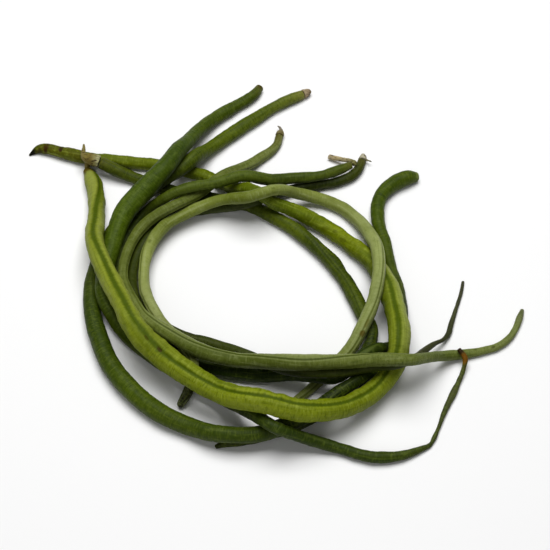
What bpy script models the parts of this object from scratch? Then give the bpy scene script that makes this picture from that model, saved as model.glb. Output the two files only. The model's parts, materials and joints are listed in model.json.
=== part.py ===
"""A bunch of yardlong beans: eight long pods that lie in one loose, tangled coil on a flat surface.

Metres, with Z up. The origin is on the surface, under the middle of the bunch's box.
Each pod is one tapered tube along its own lay. Its stations are set out by hand in millimetres, and
settle() then eases the pods apart until neighbours clear each other, as they do where one rests on another.
"""

import bmesh
import bpy
import numpy as np
from mathutils import Vector

BUNCH_NAME = "yardlong_bean_bunch"
MM = 0.001

POD_GAP = 0.5  # between the skins of neighbouring pods, mm
FINE_STEP = 2.5  # between the samples that settle() moves, mm
RING_STEP = 5.5  # between the rings of a finished pod, mm
STALK_STEP = 0.8  # between the rings of a stalk or calyx, mm
TUBE_RESOLUTION = 2  # of a tube's round bevel
WELD_REACH = 0.001  # within which a tube's caps join its sides, mm

SETTLE_ROUNDS = 160
SETTLE_SPREAD = 6  # samples on each side that follow a sample when it is pushed
SELF_REACH = 30.0  # along a pod, nearer than this it isn't its own neighbour, mm
SAME_PLACE = 1e-9  # keeps a distance from being zero, mm
FEWEST_RINGS = 3  # of any tube

DARK_GREEN = (0.055, 0.08, 0.012)
PALE_GREEN = (0.15, 0.19, 0.045)
YELLOW_GREEN = (0.16, 0.2, 0.02)
DRY_TAN = (0.24, 0.19, 0.1)
SKIN_ROUGHNESS = 0.45
DRY_ROUGHNESS = 0.8

# Each station is (x, y, height of the middle, thickness), in millimetres, from stem end to tip.
POD_RIPE = [
    (-98, 64.6, 2.4, 4.4), (-95.4, 59.5, 3.7, 7.4), (-92.4, 48, 4.4, 8.6), (-90.8, 32, 7, 8.8),
    (-89.8, 16, 13, 9.4), (-86.6, 0, 18, 9.7), (-80, -16, 19, 10), (-72.5, -30.6, 21.5, 10.5),
    (-64.6, -45.5, 22.5, 11.5), (-53, -58.3, 18, 12), (-40, -69, 18, 11.5), (-26, -78, 17, 11),
    (-12, -86, 22.5, 11), (3, -90, 22.5, 11), (20, -89, 18.5, 10.5), (34.5, -83, 13, 10.2),
    (46.3, -72.2, 10, 10.2), (55.8, -58.6, 13, 10.2), (58.8, -44, 17, 10.6), (57.4, -27, 13, 10.6),
    (54.1, -11, 10, 10.4), (48.2, 4.6, 6, 9.6), (36.2, 17.6, 4.2, 8.4), (23.2, 28.7, 4.1, 7.9),
    (8.2, 34.8, 8.5, 7.4), (-7, 39.2, 14, 6.8), (-19.5, 47.4, 9.5, 6.8), (-31, 58, 3.5, 6.5),
    (-46, 64.4, 3.3, 6.6), (-63, 68.2, 3.4, 6.8), (-80, 70, 3.5, 7), (-97, 72.3, 3.4, 6.8),
    (-114, 77.2, 3.1, 6.2), (-124, 79.7, 2.2, 4.4), (-129, 77, 0.6, 1.2),
]
POD_PALE_TRAILING = [
    (2, 88, 2.1, 4.2), (0, 81, 2.2, 4.4), (-4.4, 76.5, 2.6, 5.2), (-9.5, 71.6, 3, 5.2), (-18, 63, 6.2, 5.2),
    (-29.3, 52, 9.6, 5.4), (-42, 41, 11.5, 5.4), (-54, 32, 13, 5.4), (-67, 24, 8, 5.8),
    (-74, 9, 8, 5.2), (-75, -8, 11, 5.2), (-71, -23, 15, 6), (-62, -37, 17.5, 6.8),
    (-49, -48, 18.5, 7.2), (-35, -55, 15.5, 7.2), (-19, -57.8, 13, 7.2), (-3, -61.4, 17, 7.4),
    (12, -65, 21.6, 7.8), (28, -64.2, 20.8, 7.4), (45, -63.7, 21.3, 6.4), (61, -64.6, 23.2, 5.6),
    (72, -57, 14, 4.8), (84, -50, 4.5, 4.6), (100, -46, 2, 4), (108, -43, 1.9, 3.8),
    (113, -39, 1.8, 3.6), (117, -33, 1.7, 3.4), (119.4, -27, 1.7, 3.4), (120.8, -23.6, 1.5, 3),
    (121.3, -21.8, 1, 2),
]
POD_HOOKED = [
    (-8.6, 122, 2.2, 4.4), (-11.6, 116.6, 2.9, 5.8), (-20, 109.4, 3.2, 6.4), (-33, 98.4, 4, 7.2),
    (-42, 85, 8.5, 7.8), (-47.6, 69.4, 14.8, 8.2), (-54.6, 55.4, 17.8, 9.2), (-65.5, 43, 15.5, 10.3),
    (-76, 29.2, 13, 10.3), (-81.2, 14, 11, 9), (-84, -3, 9.5, 8), (-84, -19, 9.5, 7.6),
    (-76, -33, 4.8, 7.6), (-65, -45, 3.8, 7.4), (-51, -56, 3.7, 7.2), (-38, -66, 3.6, 7),
    (-23.4, -75.4, 5, 6.6), (-12.4, -85.4, 11.5, 6.4), (-1, -96, 17, 6.4), (13, -97.3, 8.5, 6),
    (28, -99.6, 3, 5.6), (45, -104.5, 2.7, 5.4), (59, -103.3, 2.2, 4.4), (67, -100, 1.6, 3.1),
    (72.4, -96.8, 1.1, 2.1), (75, -91.6, 1.3, 2.5), (80.4, -78, 1.3, 2.5), (86.6, -65, 1.3, 2.5),
    (89, -59, 2, 1.9), (91, -52, 4.4, 2.3), (88, -48, 6.4, 1.8),
]
POD_OUTER_RING = [
    (14.2, 116.8, 2.6, 5), (10, 114.4, 2.9, 5.8), (3, 110.4, 3, 6), (-11, 99.4, 3.2, 6.4),
    (-24, 88.2, 3.4, 6.8), (-36, 76, 5.3, 7), (-46, 63, 10, 7.8), (-59, 52, 10, 7.8),
    (-71, 41, 6.3, 7.8), (-81, 27, 3.9, 7.6), (-87.4, 11, 3.8, 7.6), (-90.6, -6, 3.8, 7.6),
    (-89.8, -23, 4.1, 8.2), (-85.7, -39, 4.5, 9), (-79.2, -55, 4.8, 9.5), (-68.8, -69, 4.8, 9.4),
    (-56, -80.8, 4.6, 9), (-41, -88.8, 4.5, 8.8), (-26, -95.4, 8, 8.2), (-9, -95.6, 9, 7.8),
    (7, -91, 10, 7.4), (20, -82.4, 10, 7), (32.6, -71.6, 10.3, 6.4), (44.8, -61.2, 9.3, 6.2),
    (56.5, -50, 7.5, 6.2), (61, -32, 5.6, 6.4), (61, -15, 3.3, 6.4), (57, 1, 3.2, 6.4),
    (55, 18, 3.2, 6.6), (53, 26, 3.3, 6.8), (52, 35, 3.7, 7.4), (52.5, 42, 3.7, 7.4),
    (54.3, 47.6, 3.6, 7.2), (58.2, 52.6, 3.7, 7.4), (62.8, 56.4, 3.8, 7.6), (67.8, 59, 3.8, 7.6),
    (70.6, 60, 3.6, 7.2), (72.2, 60.4, 3.2, 6.4), (73, 60.6, 2.6, 5.2),
]
POD_SHORT = [
    (-90, 65.9, 7.8, 6.4), (-83, 62.9, 5.6, 6.4), (-75, 60, 3.7, 6.4), (-60, 53.2, 3.3, 6.4),
    (-43, 48, 3.1, 6.2), (-27, 45.8, 3.3, 6.6), (-11, 40, 3.2, 6.4), (4, 31.4, 3.4, 6.8),
    (16, 20, 3.5, 7.2), (27, 7, 3.6, 7.4), (36, -8, 3.7, 7.4), (42, -24, 3.7, 7.4),
    (46.4, -40, 3.6, 7.2), (43, -56.6, 3.5, 7), (33, -70.2, 3.5, 6.8), (20, -81.2, 3.3, 6.4),
    (5, -90, 2.9, 5.8), (-11, -95, 2.4, 4.6), (-24, -97, 1.9, 3.6), (-27.4, -98, 1.3, 2.2),
]
POD_SLENDER = [
    (45.1, 71.2, 2.3, 4.4), (44, 68, 2.4, 4.8), (41, 63, 2.6, 5.2), (37, 60, 2.6, 5.4),
    (30, 57, 2.7, 5.4), (20, 55, 2.8, 5.6), (4, 50, 3.6, 5.6), (-9, 41, 8.8, 5.6),
    (-25, 39, 6, 5.6), (-42.5, 38.2, 3.2, 6.4), (-57, 29.2, 3.2, 6.4), (-67, 15, 3.2, 6.4),
    (-71, -2, 5, 5.4), (-69, -18, 9, 5.6), (-60, -32.6, 10, 5.8), (-46, -40.4, 7.2, 5.8),
    (-30, -43.2, 3.4, 6.2), (-15, -50.2, 5.5, 5.8), (-2, -59.6, 10.5, 5.2), (13, -66, 15, 5.2),
    (30, -66, 14, 4.8), (46, -64, 15, 4.4), (59, -63, 18.5, 4), (64, -59, 16, 3.8),
    (68, -55, 12.5, 3.5), (72, -50, 9.5, 3), (76, -45, 6.5, 2.6), (80.4, -41, 3.8, 2.1),
    (83.4, -37.6, 2, 2.5), (85, -32.6, 1.4, 2.7), (87.7, -24, 1.1, 2.1), (90.4, -16, 1, 1.9),
    (92.4, -9, 0.9, 1.8), (93.3, -4.6, 0.8, 1.5),
]
POD_STALKED = [
    (39, 65, 6, 3.8), (33, 61.3, 6.8, 5.2), (24, 57, 8, 5.4), (7, 54.8, 8.5, 5.7), (-8, 49.9, 13, 5.8),
    (-23, 46.6, 15.8, 5.7), (-40, 43.2, 16.2, 5.4), (-54, 38.6, 13.8, 5.4), (-67, 36, 4.5, 5.4),
    (-75, 21, 3.1, 6.2), (-78, 4, 3.4, 6.8), (-76, -12, 3.5, 7), (-68, -27, 3.5, 7),
    (-57, -40, 3.7, 7.2), (-43, -51, 3.8, 7.4), (-28, -57.4, 3.8, 7.2), (-11, -60, 3.8, 7.2),
    (6, -60.4, 4.8, 7), (21, -65, 9.5, 7.2), (30, -64.8, 8.7, 7), (36.5, -60.8, 9.5, 6.8),
    (43, -55.4, 11.2, 6.6), (49, -50.6, 8.8, 6.2), (54, -46, 4.5, 6.2), (60, -42, 2.3, 4.4),
    (62, -40, 1.5, 3),
]
POD_PALE_RING = [
    (3.4, -78.7, 1.3, 2.4), (16.3, -67.6, 2.6, 5), (28.2, -54.8, 3, 5.6), (39.6, -42.6, 6, 6.6),
    (46.3, -29.2, 11.5, 7), (50.2, -15, 17.5, 6.6), (50.6, 1.5, 15.5, 6.6), (48.2, 16.2, 9, 6.8),
    (42.2, 31, 4.3, 6.6), (30.5, 42.2, 3.2, 6.4), (15, 45.4, 7, 6), (2, 40, 15.2, 5.8),
    (-12, 34.2, 19.6, 6), (-27, 38, 12.5, 6), (-43, 35, 8.5, 6), (-56, 25, 8.5, 6),
    (-63.7, 10, 7.5, 5.8), (-65.2, -6, 8.5, 5.7), (-63.5, -22.8, 12.6, 5.8), (-57, -38.3, 15.6, 5.8),
    (-48.8, -44.6, 12.8, 5.8), (-44, -49, 11, 5.6), (-39, -57, 10, 5.4), (-39, -64, 10, 5.4),
    (-41, -71, 6, 5.2), (-44.6, -75.6, 2.2, 3.8),
]
PODS = {
    "pod_ripe": POD_RIPE,
    "pod_pale_trailing": POD_PALE_TRAILING,
    "pod_hooked": POD_HOOKED,
    "pod_outer_ring": POD_OUTER_RING,
    "pod_short": POD_SHORT,
    "pod_slender": POD_SLENDER,
    "pod_stalked": POD_STALKED,
    "pod_pale_ring": POD_PALE_RING,
}


# The routes of the small dry pieces, in the same units.
TWIN_KNUCKLE = [
    (-91.3, 66.4, 8, 6.4), (-93.5, 67, 8.4, 6.6), (-96, 67.8, 8.7, 6.2), (-98.6, 68.6, 8.9, 4.8),
    (-99.7, 70.5, 9, 3.2), (-99.8, 73.5, 8.8, 2.2), (-100, 77.6, 8.6, 1),
]
TWIN_ARM = [(-97.2, 67.9, 8, 3.8), (-97.8, 66.9, 5.2, 3.1), (-98.2, 66.8, 2.2, 2.8)]
DRY_STALK = [
    (40.4, 65.9, 6.1, 2.6), (41.1, 67.4, 6, 2.6), (40, 68.7, 5.3, 2.4), (34, 71.8, 3.4, 2.5),
    (28, 74.8, 1.6, 2.9),
]
CALYX_PALE_TRAILING = [
    (2.1, 88.5, 2.4, 4.6), (2.5, 90.2, 2.3, 4.4), (2.9, 91.7, 2.2, 2.8), (2.7, 93.2, 2.3, 1.6),
    (1.9, 94.5, 2.5, 1), (0.9, 95.1, 2.6, 0.6),
]
CALYX_OUTER_RING = [
    (14.8, 117.2, 2.7, 5.2), (16.5, 118.3, 2.5, 4.6), (18, 119.2, 2.4, 3.4), (18.8, 119.7, 2.3, 2),
]
CALYX_SLENDER = [(45.4, 71.9, 2.4, 4.6), (45.8, 73.5, 2.3, 4.2), (46, 75.2, 2.2, 2.8), (46.1, 76.2, 2.2, 1.6)]
CALYX_SPUR = [(46, 72.9, 2.4, 1.6), (48.4, 71.4, 2.8, 1.1), (50.4, 70.6, 2.8, 0.6)]


def clear_scene():
    for obj in list(bpy.data.objects):
        bpy.data.objects.remove(obj, do_unlink=True)


def smooth_route(stations, step):
    """The stations joined by one smooth curve and sampled about every step along it."""
    knots = np.array(stations, float)
    chords = np.linalg.norm(np.diff(knots[:, :3], axis=0), axis=1)
    at = np.concatenate([[0.0], np.cumsum(chords)])
    slopes = np.gradient(knots, at, axis=0)
    wanted = np.linspace(0.0, at[-1], max(FEWEST_RINGS, round(at[-1] / step) + 1))
    span = np.clip(np.searchsorted(at, wanted, side="right") - 1, 0, len(chords) - 1)
    length = chords[span][:, None]
    t = ((wanted - at[span]) / chords[span])[:, None]
    return (
        (2 * t**3 - 3 * t**2 + 1) * knots[span]
        + (t**3 - 2 * t**2 + t) * length * slopes[span]
        + (3 * t**2 - 2 * t**3) * knots[span + 1]
        + (t**3 - t**2) * length * slopes[span + 1]
    )


def neighbours(routes):
    """Which samples of all the routes may press on each other: True for each such pair."""
    owner = np.concatenate([np.full(len(route), i) for i, route in enumerate(routes)])
    along = np.concatenate([np.arange(len(route)) * FINE_STEP for route in routes])
    same_pod = owner[:, None] == owner[None, :]
    close_along = np.abs(along[:, None] - along[None, :]) < SELF_REACH
    return ~(same_pod & close_along)


def spread_out(pushes):
    """A sample's push shared with those beside it, so that a pod bends instead of kinking."""
    weights = np.hanning(2 * SETTLE_SPREAD + 3)[1:-1]  # its two ends are zero
    weights = weights / weights.sum()
    padded = np.pad(pushes, ((SETTLE_SPREAD, SETTLE_SPREAD), (0, 0)), mode="edge")
    return np.stack([np.convolve(padded[:, axis], weights, "valid") for axis in range(3)], axis=1)


def settle(routes):
    """Moves the routes apart where their skins are nearer than POD_GAP, and keeps them above the surface."""
    allowed = neighbours(routes)
    starts = np.cumsum([len(route) for route in routes])[:-1]
    samples = np.concatenate(routes)
    radii = samples[:, 3] / 2
    wanted = radii[:, None] + radii[None, :] + POD_GAP
    rows = np.arange(len(samples))
    for _ in range(SETTLE_ROUNDS):
        apart = samples[:, None, :3] - samples[None, :, :3]
        distance = np.linalg.norm(apart, axis=2) + SAME_PLACE
        short = np.where(allowed, wanted - distance, 0.0)
        worst = short.argmax(axis=1)
        lack = np.clip(short[rows, worst], 0.0, None)
        direction = apart[rows, worst] / distance[rows, worst][:, None]
        pushes = direction * lack[:, None]
        eased = [spread_out(part) for part in np.split(pushes, starts)]
        samples[:, :3] += np.concatenate(eased)
        samples[:, 2] = np.maximum(samples[:, 2], radii)
    return np.split(samples, starts)


def thinned(route, step):
    """The route with one sample about every step, and both its ends."""
    count = max(FEWEST_RINGS, round((len(route) - 1) * FINE_STEP / step) + 1)
    return route[np.linspace(0, len(route) - 1, count).round().astype(int)]


def tube(name, route, material, collection):
    """A closed tapered tube along the route, with its object's origin at the route's first point."""
    curve = bpy.data.curves.new(name, "CURVE")
    curve.dimensions = "3D"
    curve.bevel_depth = MM
    curve.bevel_resolution = TUBE_RESOLUTION
    curve.use_fill_caps = True
    spline = curve.splines.new("POLY")
    spline.points.add(len(route) - 1)
    start = Vector(route[0][:3])
    for point, (x, y, height, thickness) in zip(spline.points, route):
        point.co = (*((Vector((x, y, height)) - start) * MM), 1.0)
        point.radius = thickness / 2
    spline.use_smooth = True
    curve.materials.append(material)
    obj = bpy.data.objects.new(name, curve)
    obj.location = start * MM
    collection.objects.link(obj)
    return obj


def as_mesh(curve_object, collection):
    """The curve object made a mesh object, with its end caps welded to its sides."""
    bpy.context.view_layer.update()
    graph = bpy.context.evaluated_depsgraph_get()
    mesh = bpy.data.meshes.new_from_object(curve_object.evaluated_get(graph))
    shape = bmesh.new()
    shape.from_mesh(mesh)
    bmesh.ops.remove_doubles(shape, verts=shape.verts, dist=WELD_REACH * MM)
    bmesh.ops.recalc_face_normals(shape, faces=shape.faces)
    shape.to_mesh(mesh)
    shape.free()
    obj = bpy.data.objects.new(curve_object.name + "_mesh", mesh)
    obj.matrix_world = curve_object.matrix_world
    collection.objects.link(obj)
    name = curve_object.name
    bpy.data.objects.remove(curve_object, do_unlink=True)
    obj.name = name
    return obj


def forked(name, stem_route, branch_route, material, collection, helpers):
    """Two tubes grown together: the stem with the branch joined to it."""
    stem = as_mesh(tube(name, smooth_route(stem_route, STALK_STEP), material, collection), collection)
    branch_name = name + "_branch"
    branch = as_mesh(tube(branch_name, smooth_route(branch_route, STALK_STEP), material, helpers), helpers)
    branch.hide_render = True
    branch.display_type = "WIRE"
    join = stem.modifiers.new("branch", "BOOLEAN")
    join.operation = "UNION"
    join.solver = "EXACT"
    join.object = branch
    return stem


def skin(name, colour, roughness):
    material = bpy.data.materials.new(name)
    material.use_nodes = True
    shader = material.node_tree.nodes["Principled BSDF"]
    shader.inputs["Base Color"].default_value = (*colour, 1.0)
    shader.inputs["Roughness"].default_value = roughness
    shader.inputs["Metallic"].default_value = 0.0
    return material


def stand_on_origin(objects, root):
    """Moves the root so that the origin is under the middle of everything, at its lowest point."""
    bpy.context.view_layer.update()
    graph = bpy.context.evaluated_depsgraph_get()
    corners = []
    for obj in objects:
        evaluated = obj.evaluated_get(graph)
        mesh = evaluated.to_mesh()
        corners += [evaluated.matrix_world @ vertex.co for vertex in mesh.vertices]
        evaluated.to_mesh_clear()
    low = np.min(corners, axis=0)
    high = np.max(corners, axis=0)
    root.location = (-(low[0] + high[0]) / 2, -(low[1] + high[1]) / 2, -low[2])


def build():
    clear_scene()
    bunch = bpy.data.collections.new(BUNCH_NAME)
    helpers = bpy.data.collections.new(BUNCH_NAME + "_helpers")
    bpy.context.scene.collection.children.link(bunch)
    bpy.context.scene.collection.children.link(helpers)
    helpers.hide_render = True

    dark_skin = skin("dark_pod_skin", DARK_GREEN, SKIN_ROUGHNESS)
    pale_skin = skin("pale_pod_skin", PALE_GREEN, SKIN_ROUGHNESS)
    ripe_skin = skin("ripe_pod_skin", YELLOW_GREEN, SKIN_ROUGHNESS)
    dry_stalk = skin("dry_stalk", DRY_TAN, DRY_ROUGHNESS)
    skins = {name: dark_skin for name in PODS}
    skins["pod_ripe"] = ripe_skin
    skins["pod_pale_trailing"] = pale_skin
    skins["pod_pale_ring"] = pale_skin

    settled = settle([smooth_route(stations, FINE_STEP) for stations in PODS.values()])
    pieces = [
        tube(name, thinned(route, RING_STEP), skins[name], bunch)
        for name, route in zip(PODS, settled)
    ]
    pieces.append(forked("twin_stalk", TWIN_KNUCKLE, TWIN_ARM, dry_stalk, bunch, helpers))
    pieces.append(forked("calyx_slender", CALYX_SLENDER, CALYX_SPUR, dry_stalk, bunch, helpers))
    for name, stations in (
        ("stalk_dry", DRY_STALK),
        ("calyx_pale_trailing", CALYX_PALE_TRAILING),
        ("calyx_outer_ring", CALYX_OUTER_RING),
    ):
        pieces.append(tube(name, smooth_route(stations, STALK_STEP), dry_stalk, bunch))

    root = bpy.data.objects.new(BUNCH_NAME, None)
    bunch.objects.link(root)
    stand_on_origin(pieces, root)
    for obj in pieces + list(helpers.objects):
        obj.parent = root


build()
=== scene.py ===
"""The looks of the yardlong bean bunch.

Each pod gets a finer skin, lofted on the axis of its CAD node, with its suture, seed bumps,
wrinkles and blemishes. The dry pieces are the CAD shapes, remeshed finely and made uneven.
"""

import json
import math

import bmesh
import bpy
import numpy as np
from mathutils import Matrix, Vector

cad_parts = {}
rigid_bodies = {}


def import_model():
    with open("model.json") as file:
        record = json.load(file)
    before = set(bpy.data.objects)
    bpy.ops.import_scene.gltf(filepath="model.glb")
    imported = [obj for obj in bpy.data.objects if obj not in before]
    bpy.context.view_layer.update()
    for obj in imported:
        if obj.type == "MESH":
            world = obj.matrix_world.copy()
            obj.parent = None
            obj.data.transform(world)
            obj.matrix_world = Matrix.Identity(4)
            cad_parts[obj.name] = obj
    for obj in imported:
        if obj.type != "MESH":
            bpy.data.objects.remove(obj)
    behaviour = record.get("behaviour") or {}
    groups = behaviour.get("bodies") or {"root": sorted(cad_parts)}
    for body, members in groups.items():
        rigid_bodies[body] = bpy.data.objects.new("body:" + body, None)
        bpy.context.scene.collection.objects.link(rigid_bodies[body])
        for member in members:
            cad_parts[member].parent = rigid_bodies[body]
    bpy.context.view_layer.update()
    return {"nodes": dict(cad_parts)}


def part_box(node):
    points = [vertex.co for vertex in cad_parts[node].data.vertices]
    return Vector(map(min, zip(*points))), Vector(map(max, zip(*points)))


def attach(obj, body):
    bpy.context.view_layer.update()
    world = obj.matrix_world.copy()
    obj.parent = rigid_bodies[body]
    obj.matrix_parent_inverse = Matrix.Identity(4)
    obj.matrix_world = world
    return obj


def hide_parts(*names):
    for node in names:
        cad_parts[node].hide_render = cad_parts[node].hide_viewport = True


MM = 0.001

HASH_FACTORS = np.array([73856093, 19349663, 83492791])  # that spread neighbouring cells
HASH_TABLE = 4096  # random numbers that the noise draws from

# How a pod's axis is read from its CAD node.
SAME_PLACE = 0.001 * MM  # vertices nearer than this are one
FLAT_COSINE = 0.9999  # least cosine of the angle between two faces of one flat cap
FLAT_DEPTH = 0.01 * MM  # most that a corner of a flat cap lies off its plane
RING_SKIP = 1.5  # times the usual reach to the next ring, past which a vertex is in a later one
RANK_SHARE = 0.01  # of a ring's size, under which its vertices are taken to lie in one plane

# The relief of a skin, in millimetres where it is a length.
DOME_RINGS = 5  # that close each end of a skin
POLE_SHARE = 0.02  # a dome's last ring in radii of the end, and its pole's reach in that ring's
TURN_RINGS = 41  # over which the suture's wandering round the pod is smoothed
GROOVE_POWER = 1.3  # shape of the groove: 2 makes a bell curve, less a sharper line
LIP_PLACE = 1.9  # from the suture to the middle of a lip, in groove widths
LIP_WIDTH = (0.4, 0.8)  # a lip's half width: a fixed part, and a share of the groove's width
PUCKER_LENGTH = 4.0
LIPS_APART = 3.0  # in the puckers' noise, so that the two lips differ
KEEL_SHARE = 0.6  # height of the ridge on the pod's far side, as a share of the lips' height
KEEL_WIDTH = 0.9
SEED_PITCH = 12.0
SEED_POWER = 1.5  # the higher, the shorter each seed's bump
DRIFT_SHARE = 0.6  # of a pitch, by which the seeds' spacing drifts
DRIFT_LENGTH = 30.0
SEED_STRENGTH = (0.5, 0.7)  # the bumps' usual strength, and how far it varies
STRENGTH_LENGTH = 22.0
STRENGTH_TURN = 0.3  # how fast the strength changes round the pod
SWELLINGS = [  # (share of the pod's swell, size twice across and once along, seed)
    (1.0, (7.0, 7.0, 9.0), 3),
    (0.4, (2.6, 2.6, 2.6), 4),
    (0.9, (8.0, 8.0, 20.0), 7),
]
CREASE_SIZE = (2.6, 2.6, 0.9)
END_FADE = 8.0  # within which the relief fades out towards each end
DRIFT_SEED, CREASE_SEED, STRENGTH_SEED, PUCKER_SEED = 5, 6, 9, 11  # added to the pod's own

# Colours and shine.
RAMP_REACH = 600.0  # mm along a pod that the colour ramps span
DARKEST = 0.0005
LIFT = 1.02  # how much lighter a colour is made than it has to look under these lights
GLOSS = np.array([0.004, 0.004, 0.009])  # that the skins' gloss adds to each colour
SKIN_SPECULAR = 0.11
SKIN_ROUGHNESS = (0.4, 0.2)  # where the creases' noise is 0, and how much more where it is 1
STREAK = 0.4  # strength of the lengthwise streaks
CREST_SHARE = 0.8  # of the wrinkles' strength, for their pale crests
LINE_WIDTH = 0.35  # mm, of the suture's coloured line on a pod that states none
LINE_SHARE = 0.35  # strength of that line
LINE_EDGE = (2.0, 0.4)  # line widths from the suture at which the line starts and is full
BAND_INNER = (1.3, 2.0)  # the same for the near edge of the pale band beside the line
BAND_OUTER = (4.2, 2.4)  # and for its far edge
SPOT_EDGE = (1.15, 0.5)  # half sizes from a spot's middle at which it starts and is full
RAGGED = 1.4  # how uneven the spots' edges are
MIX_SHARE, MIX_FIRST, MIX_SECOND, MIX_RESULT = 0, 6, 7, 2  # sockets of a Mix node for colours

# The dry pieces.
VOXEL = 0.25 * MM
SMOOTHINGS = 3
UNEVENNESS = 0.2 * MM
UNEVEN_NOISES = [(0.7, 0.9 * MM, 21), (0.3, 0.4 * MM, 22)]  # (share, size, seed)
DRY_SPECULAR = 0.25
DRY_ROUGHNESS = (0.65, 0.2)  # where the fibres' noise is 0, and how much more where it is 1
FIBRES_ACROSS = 900.0  # per metre
FIBRES_ALONG = 315.0
FIBRE_DEPTH = 0.3 * MM
FIBRE_STRENGTH = 0.9
CRACK_EDGE = (0.47, 0.33)  # of the fibres' noise at which a crack starts and is full
DRY_PATCHES = 420.0  # per metre
WANDER = 0.35  # share of the piece's length by which its bands of colour wander

FLOOR_REACH = 3.0
FLOOR_ALBEDO = 0.86
FLOOR_ROUGHNESS = 0.9
WORLD_STRENGTH = 0.08
SOFTBOXES = [  # (name, place, side in metres, power in watts)
    ("overhead", (0.0, 0.25, 1.1), 0.85, 15.6),
    ("front", (-0.3, -0.9, 0.8), 0.9, 2.4),
]
CAMERA_TARGET = (0.0033, -0.0076, 0.0)
CAMERA_ELEVATION = 55.0
CAMERA_DISTANCE = 0.85
CAMERA_LENS = 111.3
CAMERA_NEAREST = 0.05


# ---------------------------------------------------------------- noise


def hashed(cells, seed):
    """A number from -1 to 1 for each integer cell, always the same for the same seed."""
    spread = cells * HASH_FACTORS
    table = np.random.default_rng(seed).uniform(-1.0, 1.0, HASH_TABLE)
    return table[(spread[..., 0] ^ spread[..., 1] ^ spread[..., 2]) % HASH_TABLE]


def noise(points, seed):
    """Smooth noise from about -1 to 1, with bumps about one unit across."""
    cell = np.floor(points).astype(np.int64)
    part = points - cell
    part = part * part * (3 - 2 * part)
    total = np.zeros(points.shape[:-1])
    for corner in np.ndindex(2, 2, 2):
        pick = np.array(corner)
        weight = np.where(pick == 1, part, 1 - part).prod(axis=-1)
        total += weight * hashed(cell + pick, seed)
    return total


# ---------------------------------------------------------------- a pod's axis


def welded_mesh(node):
    """The node's vertices made one where they meet, and its triangles."""
    mesh = frame["nodes"][node].data
    points = np.empty(len(mesh.vertices) * 3)
    mesh.vertices.foreach_get("co", points)
    points = points.reshape(-1, 3)
    faces = np.array([polygon.vertices[:] for polygon in mesh.polygons])
    cells = np.round(points / SAME_PLACE).astype(np.int64)
    first, index = np.unique(cells, axis=0, return_index=True, return_inverse=True)[1:]
    return points[first], index.reshape(-1)[faces]


def end_cap(points, faces, near):
    """The corners of the widest flat patch of faces round the vertex near: the cap of that end."""
    a, b, c = points[faces].swapaxes(0, 1)
    normals = np.cross(b - a, c - a)
    normals /= np.linalg.norm(normals, axis=1)[:, None]
    best = np.array([], int)
    for face in np.flatnonzero((faces == near).any(axis=1)):
        alike = normals @ normals[face] > FLAT_COSINE
        level = np.abs((points[faces] - points[near]) @ normals[face]).max(axis=1) < FLAT_DEPTH
        corners = np.unique(faces[alike & level])
        if len(corners) > len(best):
            best = corners
    return best


def edges_both_ways(faces):
    ends = np.concatenate([faces[:, [0, 1]], faces[:, [1, 2]], faces[:, [2, 0]]])
    return np.concatenate([ends, ends[:, ::-1]])


def farthest(count, faces):
    """One of the vertices that are the most edges away from vertex 0."""
    ends = edges_both_ways(faces)
    reached = np.zeros(count, bool)
    reached[0] = True
    while not reached.all():
        new = ends[reached[ends[:, 0]] & ~reached[ends[:, 1]], 1]
        reached[new] = True
    return int(new[0])


def rings_from(points, faces, cap):
    """The tube's rings of vertices, walked from one end's cap. A vertex that lies much farther on
    than the others reached with it is in a later ring: the mesh may lack one of those between."""
    ends = edges_both_ways(faces)
    used = np.zeros(len(points), bool)
    used[cap] = True
    rings = [points[cap]]
    ring = cap
    while True:
        new = np.unique(ends[np.isin(ends[:, 0], ring) & ~used[ends[:, 1]], 1])
        if len(new) == 0:
            return rings
        middle = points[ring].mean(axis=0)
        onward = points[new].mean(axis=0) - middle
        reach = (points[new] - middle) @ onward
        ring = new[reach < RING_SKIP * np.median(reach)]
        used[ring] = True
        rings.append(points[ring])


def circle(ring):
    """(centre, radius) of the circle that the ring's vertices lie on."""
    middle = ring.mean(axis=0)
    away = ring - middle
    table = np.column_stack([2 * away / MM, np.ones(len(ring))])
    answer = np.linalg.lstsq(table, (away**2).sum(axis=1) / MM**2, rcond=RANK_SHARE)[0]
    return middle + answer[:3] * MM, math.sqrt(answer[3] + answer[:3] @ answer[:3]) * MM


def axis_of(node, stem_side):
    """(centres, radii) of the node's rings, from its stem end. Of the two ends that is the one
    that lies farther along stem_side."""
    points, faces = welded_mesh(node)
    cap = end_cap(points, faces, farthest(len(points), faces))
    rings = rings_from(points, faces, cap)
    centres, radii = (np.array(values) for values in zip(*map(circle, rings)))
    if (centres[-1] - centres[0]) @ stem_side > 0:
        return centres[::-1], radii[::-1]
    return centres, radii


def resampled(centres, radii, step):
    """The axis as a smooth curve: (centres, radii, distances from the stem end), a step apart."""
    knots = np.column_stack([centres, radii])
    chords = np.linalg.norm(np.diff(centres, axis=0), axis=1)
    reached = np.concatenate([[0.0], np.cumsum(chords)])
    slopes = np.gradient(knots, reached, axis=0)
    wanted = np.linspace(0.0, reached[-1], round(reached[-1] / step) + 1)
    span = np.clip(np.searchsorted(reached, wanted, side="right") - 1, 0, len(chords) - 1)
    length = chords[span][:, None]
    t = ((wanted - reached[span]) / chords[span])[:, None]
    smooth = (
        (2 * t**3 - 3 * t**2 + 1) * knots[span]
        + (t**3 - 2 * t**2 + t) * length * slopes[span]
        + (3 * t**2 - 2 * t**3) * knots[span + 1]
        + (t**3 - t**2) * length * slopes[span + 1]
    )
    return smooth[:, :3], smooth[:, 3], wanted


# ---------------------------------------------------------------- a pod's skin


def at(value, along):
    """A look at each distance along: a number, or [(distance, number), ...] where it changes."""
    if isinstance(value, (int, float)):
        return np.full(np.shape(along), float(value))
    stops, values = zip(*value)
    return np.interp(along, stops, values)


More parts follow.
